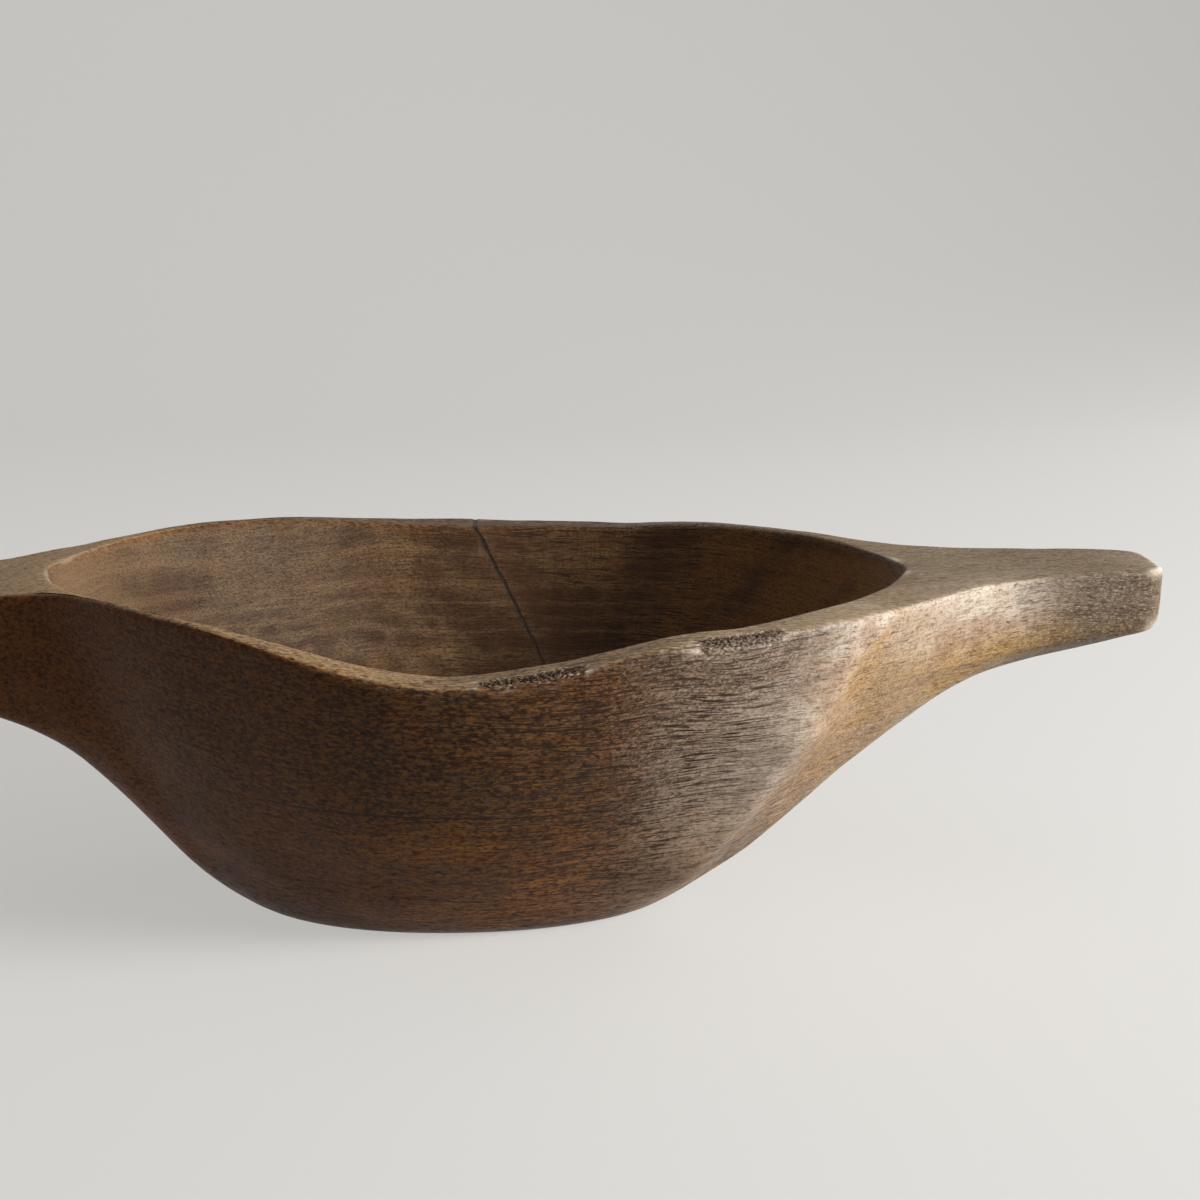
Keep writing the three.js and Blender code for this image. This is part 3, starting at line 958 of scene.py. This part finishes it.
fibres = laid_noise(32.0, 70.0, 950.0, 6.0, 0.7)
hairs = level(laid_noise(80.0, 105.0, 1750.0, 1.0, 0.5), 0.55, 0.62)
flecks = level(laid_noise(190.0, 210.0, 1000.0, 2.0, 0.6), 0.55, 0.66)
sand = stretched_noise(grain, (560.0, 1400.0, 1400.0), 3.0, 0.75)
grit = stretched_noise(grain, (400.0, 640.0, 640.0), 2.0, 0.65)
chatter = level(stretched_noise(place, (1000.0, 70.0, 70.0), 1.0, 0.5), 0.54, 0.66)
pore_cells = add_node(tree, "ShaderNodeMapping", Vector=grain, Scale=(260.0, 1500.0, 1500.0))
pore_gap = add_node(tree, "ShaderNodeTexVoronoi", Vector=pore_cells.outputs["Vector"], Scale=1.0)
pores = level(pore_gap.outputs["Distance"], 0.15, 0.32, 1.0, 0.0)
print("nodes with the fine patterns", len(tree.nodes))

# %% Wide patterns and directions
blotches = even_noise(place, 15.0, 4.0, 0.6, 0.7)
drifts = even_noise(place, 10.0, 3.0, 0.55, 1.2)
clouds = even_noise(place, 6.5, 2.0, 0.5)
patches = stretched_noise(grain, (14.0, 40.0, 40.0), 3.0, 0.6)
mottles = stretched_noise(grain, (42.0, 88.0, 88.0), 3.0, 0.6)
sides = add_node(tree, "ShaderNodeSeparateXYZ", Vector=grain).outputs
along, depth, height = sides["X"], sides["Y"], sides["Z"]
reach = maths("ABSOLUTE", along)
print("nodes with all patterns", len(tree.nodes))

# %% [markdown]
# ## The wood: broad colours
# The colours are laid over each other from large to small, as a painter would: tan and brown growth
# layers, umber on the left that is partly painted shade, a darker greyer brown in the middle that is
# partly painted shade, gold low on the walls, and a grey on the right that is partly weathering and
# partly painted light. One of the wide patterns breaks up every edge between them, so none shows as a
# line.

# %% Lay the broad colours
def lay(colour, *layers, mode="MIX"):
    """Layers of paint over a colour, each given as its share and its red, green and blue."""
    for share, red, green, blue in layers:
        colour = tint(share, colour, paint(red, green, blue), mode)
    return colour


basin = mark("oiled_basin")
outside = level(basin, 0.0, 1.0, 1.0, 0.0)
# Umber on the left front: partly the wood's own tone and partly painted shade.
shaded = times(level(along, 0.105, 0.052, 0.0, 0.92), level(clouds, 0.35, 0.6, 0.7, 1.0), outside)
# A darker greyer brown in the middle of the front: partly mottled wood and partly painted shade.
shaded_centre = times(level(along, -0.08, -0.01), level(along, 0.11, 0.074), outside)
golden = times(level(height, 0.075, 0.03, 0.12, 1.0), level(drifts, 0.38, 0.54, 0.35, 1.0))
streaks = times(level(height, 0.075, 0.045), outside, level(patches, 0.48, 0.6, 0.0, 0.75))
# Grey on the right front: partly weathering and partly painted light on the side facing the window.
greyed_and_lit = times(level(along, 0.05, 0.1), level(clouds, 0.4, 0.58, 0.6, 1.0), outside)
colour = tint(level(growth, 0.36, 0.64), paint(172, 140, 104), paint(140, 106, 73))
colour = lay(
    colour,
    (level(broad, 0.42, 0.66, 0.0, 0.45), 122, 88, 58),
    (shaded, 134, 86, 48),
    (times(shaded_centre, level(mottles, 0.42, 0.56, 0.3, 0.95)), 106, 88, 70),
    (golden, 182, 122, 50),
    (streaks, 226, 160, 72),
    (greyed_and_lit, 204, 192, 177))
print("nodes with the broad colours", len(tree.nodes))

# %% [markdown]
# ## The wood: the ridge and the grips
# Here the marks from the mesh come in. The ridge is silvery, partly as a painted sheen, the end wall
# and the lower sides are golden, and the right grip is whitish above, a painted highlight on its lit
# side, ochre lower down and pale grey underneath, a painted sheen. The ends of both grips are grey
# from handling.

# %% Weather the ridge and the grips, and paint their sheen and highlight
# The silvery band along the ridge is partly pale dry wood and partly a painted sheen.
dry_and_sheen = mark("dry_sheen_ridge")
end_wall = mark("end_wall")
upright = level(flat, 0.0, 1.0, 1.0, 0.0)
# Whitish upper side of the right grip: a painted highlight on its lit side.
whitish_lit_side = times(level(along, 0.12, 0.16), level(patches, 0.5, 0.62, 0.0, 0.4), upright)
ochre = times(level(height, 0.119, 0.106), level(along, 0.12, 0.16), level(drifts, 0.4, 0.56, 0.9, 0.5))
ochre = times(ochre, level(end_wall, 0.0, 1.0, 1.0, 0.35), outside)
russet = times(level(reach, 0.1, 0.14), level(patches, 0.46, 0.36, 0.0, 0.55), outside)
colour = lay(
    colour,
    (times(dry_and_sheen, level(drifts, 0.35, 0.6, 1.0, 0.8)), 240, 229, 214),
    (times(mark("sheltered"), level(drifts, 0.4, 0.54, 0.9, 0.25)), 202, 156, 94),
    (times(end_wall, level(mottles, 0.4, 0.56, 0.9, 0.5)), 208, 170, 122),
    (whitish_lit_side, 206, 197, 184),
    (ochre, 205, 167, 100),
    (times(mark("underside_sheen"), level(drifts, 0.4, 0.56, 0.7, 0.3)), 196, 184, 168),
    (russet, 158, 112, 72),
    (times(level(reach, 0.205, 0.245), level(drifts, 0.4, 0.6, 0.9, 0.5)), 122, 108, 92),
    (level(blotches, 0.5, 0.7, 0.0, 0.5), 104, 72, 47))
print("nodes with the ridge and the grips", len(tree.nodes))

# %% [markdown]
# ## The wood: the oiled basin and its rings
# Oil has turned the basin olive brown, and warmer towards the right. Where the hollow cuts through the
# growth layers they show as rings, and on the left they bend in arches. An arch is a distance from one
# place, swayed by the drifts, that goes through a sine.

# %% Oil the basin and draw its rings
ring_share = times(level(basin, 0.0, 1.0, 0.25, 0.42), level(blotches, 0.36, 0.56, 0.1, 0.9))
arch = vector_maths("LENGTH", vector_maths("MULTIPLY_ADD", grain, (1.0, 0.0, 1.4), (0.072, 0.0, -0.075)))
arch_swing = maths("SINE", maths("MULTIPLY_ADD", arch, 460.0, times(drifts, 14.0)))
arch_share = times(basin, level(arch, 0.085, 0.045), level(mottles, 0.4, 0.56, 0.05, 0.36))
colour = lay(
    colour,
    (times(basin, level(drifts, 0.35, 0.62, 0.95, 0.6)), 104, 82, 58),
    (times(basin, level(along, 0.03, 0.14, 0.0, 0.75)), 178, 122, 64),
    (times(basin, level(blotches, 0.46, 0.6, 0.0, 0.7)), 76, 50, 31),
    (times(rings, ring_share), 70, 46, 29),
    (times(pale_rings, ring_share), 158, 126, 90),
    (times(level(arch_swing, 0.0, 0.9), arch_share), 150, 124, 94),
    (times(level(arch_swing, 0.0, -0.9), arch_share), 66, 47, 31))
print("nodes with the basin", len(tree.nodes))

# %% [markdown]
# ## The wood: the rim, the fibres and the grit
# The rim's top is rubbed to a lighter tan, which on the near left is partly a painted highlight, and it
# is darker towards the far side. Fibres, sand and grit are multiplied over everything, because dirt in
# the grain darkens a colour and doesn't replace it. On the left some grains stay golden, and on the
# right pale grains are painted light on the lit side.

# %% Rub the rim, and lay the fibres and the grit
# The rim's lighter tan is partly rubbed wood and partly a painted highlight, strongest on the near left; it
# is darker towards the far side.
rim_colour_and_highlight = tint(level(along, 0.08, 0.17), paint(226, 193, 142), paint(146, 122, 84))
rim_colour_and_highlight = tint(level(depth, 0.05, 0.085), rim_colour_and_highlight, paint(126, 104, 78))
colour = tint(times(mark("rubbed_lit_rim"), level(fibres, 0.35, 0.65, 0.9, 0.6)), colour, rim_colour_and_highlight)
off_ridge = level(dry_and_sheen, 0.0, 1.0, 1.0, 0.3)
fibre_share = times(level(fibres, 0.36, 0.6, 0.85, 0.0), level(basin, 0.0, 1.0, 1.0, 0.6), off_ridge)
fibre_share = times(fibre_share, level(reach, 0.1, 0.14, 1.0, 0.4), level(along, -0.02, 0.06, 0.55, 1.0))
sand_share = times(level(sand, 0.36, 0.56, 0.8, 0.0), level(reach, 0.13, 0.17, 1.0, 0.6), off_ridge)
sand_colour = tint(level(along, -0.03, 0.05), paint(106, 88, 72), paint(140, 122, 106))
grit_share = times(level(grit, 0.5, 0.38, 0.0, 0.9), outside, level(along, 0.05, 0.1, 1.0, 0.45))
gold_grit = times(level(grit, 0.5, 0.64, 0.0, 0.6), outside, level(along, 0.07, 0.0))
# Pale grains on the right: painted light on the side facing the window.
lit_pale_grains = times(level(sand, 0.52, 0.68, 0.0, 0.5), level(along, 0.035, 0.095, 0.1, 1.0), outside)
colour = lay(colour, (fibre_share, 136, 116, 98), mode="MULTIPLY")
colour = tint(sand_share, colour, sand_colour, "MULTIPLY")
colour = lay(colour, (grit_share, 146, 126, 108), mode="MULTIPLY")
colour = lay(colour, (gold_grit, 158, 110, 56), (lit_pale_grains, 210, 192, 168))
print("nodes with the fibres and the grit", len(tree.nodes))

# %% [markdown]
# ## The wood: hairlines, flecks and pores
# The small dark marks come next: hairlines, short upright ticks from a chattering scraper under the far
# rim, flecks and pores. One long thin line along the front is a shake, a parting between two growth
# layers.

# %% Draw the hairlines, the flecks and the pores
SHAKE_HEIGHT = 0.066

hair_share = times(level(along, -0.04, 0.04, 0.5, 1.0), level(reach, 0.1, 0.135, 1.0, 0.2))
hair_share = times(hair_share, level(clouds, 0.36, 0.56, 0.5, 1.0), level(dry_and_sheen, 0.4, 1.0, 1.0, 0.35))
ticks = times(chatter, basin, level(height, 0.092, 0.108), level(clouds, 0.42, 0.58, 0.0, 0.45))
fleck_share = times(level(drifts, 0.38, 0.6, 1.0, 0.6), level(along, 0.09, 0.03, 0.5, 1.0))
fleck_share = times(fleck_share, level(along, -0.07, 0.01, 0.3, 1.0), level(basin, 0.0, 1.0, 1.0, 0.6))
offset = maths("ABSOLUTE", maths("SUBTRACT", height, SHAKE_HEIGHT))
stretch = times(level(along, -0.11, -0.06), level(along, 0.07, 0.03), level(depth, -0.05, -0.06), outside)
colour = lay(
    colour,
    (times(hairs, hair_share), 54, 37, 26),
    (ticks, 66, 44, 28),
    (times(flecks, fleck_share), 46, 29, 17),
    (times(level(offset, 0.0002, 0.0006, 0.85, 0.0), stretch), 36, 23, 14),
    (times(pores, level(clouds, 0.6, 0.42, 0.2, 0.55)), 54, 36, 24))
print("nodes with the small marks", len(tree.nodes))

# %% [markdown]
# ## The wood: painted shade, wear and highlights
# Last come painted shade and what use has done. The left side and the foot are darkened as painted
# shade, the sharp edges are pale, partly from wear and partly as a painted highlight, the torn grain is
# darker, and the stain lies beside the crack.

# %% Add the painted shade, the wear and the highlights
# Painted shade: the left side and the foot are darkened.
shade_on_left = times(level(along, -0.16, 0.02, 0.7, 0.2), outside, level(flat, 0.0, 0.7, 1.0, 0.15))
shade_low_down = times(level(height, 0.02, 0.07, 1.0, 0.0), level(reach, 0.0, 0.08, 0.4, 0.8), outside)
shade_low_down = times(shade_low_down, level(end_wall, 0.0, 1.0, 1.0, 0.1))
highlit_wear_share = times(level(sand, 0.36, 0.6, 0.7, 1.0), level(along, -0.16, -0.06, 0.2, 1.0))
colour = lay(colour, (shade_on_left, 220, 180, 122), (shade_low_down, 206, 180, 148), mode="MULTIPLY")
# The pale edges are partly wear and partly a painted highlight.
colour = lay(
    colour,
    (times(mark("worn_highlit_edge"), highlit_wear_share), 236, 221, 199),
    (times(mark("torn_rim"), level(sand, 0.35, 0.6, 1.0, 0.55)), 60, 39, 25),
    (times(mark("crack_stain"), level(fibres, 0.35, 0.65, 0.85, 0.4)), 74, 48, 31))
tree.links.new(colour, shader.inputs["Base Color"])
print("nodes with all colours", len(tree.nodes))

# %% [markdown]
# ## The wood: sheen and relief
# The flecks are rougher and lie lower than the oiled wood between them, and rubbed edges are smoother.
# The same patterns that gave the colour give the roughness and a shallow relief, which keeps light and
# colour in step.

# %% Roughness and relief
polish = level(mark("worn_highlit_edge"), 0.0, 1.0, 1.0, 0.75)
tree.links.new(times(level(flecks, 0.0, 1.0, 0.42, 0.62), polish), shader.inputs["Roughness"])
relief = fibres
for pattern, rise in ((pores, -0.7), (flecks, -0.6), (hairs, -0.5)):
    relief = maths("MULTIPLY_ADD", pattern, rise, relief)
bump = add_node(tree, "ShaderNodeBump", Strength=0.4, Distance=0.0004, Height=relief)
tree.links.new(bump.outputs["Normal"], shader.inputs["Normal"])
bowl.data.materials.clear()
bowl.data.materials.append(wood_finish)
print("wood nodes", len(tree.nodes))

# %% [markdown]
# ## The filling
# The filling is a dark resin mixed with wood dust. It set hard and slightly glossy, with small sunken
# places. A dark colour with a little brown dust in it and a fine uneven relief is enough, since only a
# thin line of it shows.

# %% The resin
resin_finish, tree, shader = new_material("dark_resin", Specular_IOR_Level=0.3)
dust_place = add_node(tree, "ShaderNodeTexCoord").outputs["Object"]
dust = even_noise(dust_place, 420.0, 3.0, 0.6)
resin_colour = tint(level(dust, 0.45, 0.65), paint(32, 25, 20), paint(62, 46, 34))
tree.links.new(resin_colour, shader.inputs["Base Color"])
tree.links.new(level(dust, 0.35, 0.65, 0.4, 0.6), shader.inputs["Roughness"])
bump = add_node(tree, "ShaderNodeBump", Strength=0.5, Distance=0.0003, Height=dust)
tree.links.new(bump.outputs["Normal"], shader.inputs["Normal"])
filling.data.materials.clear()
filling.data.materials.append(resin_finish)
print("resin nodes", len(tree.nodes))
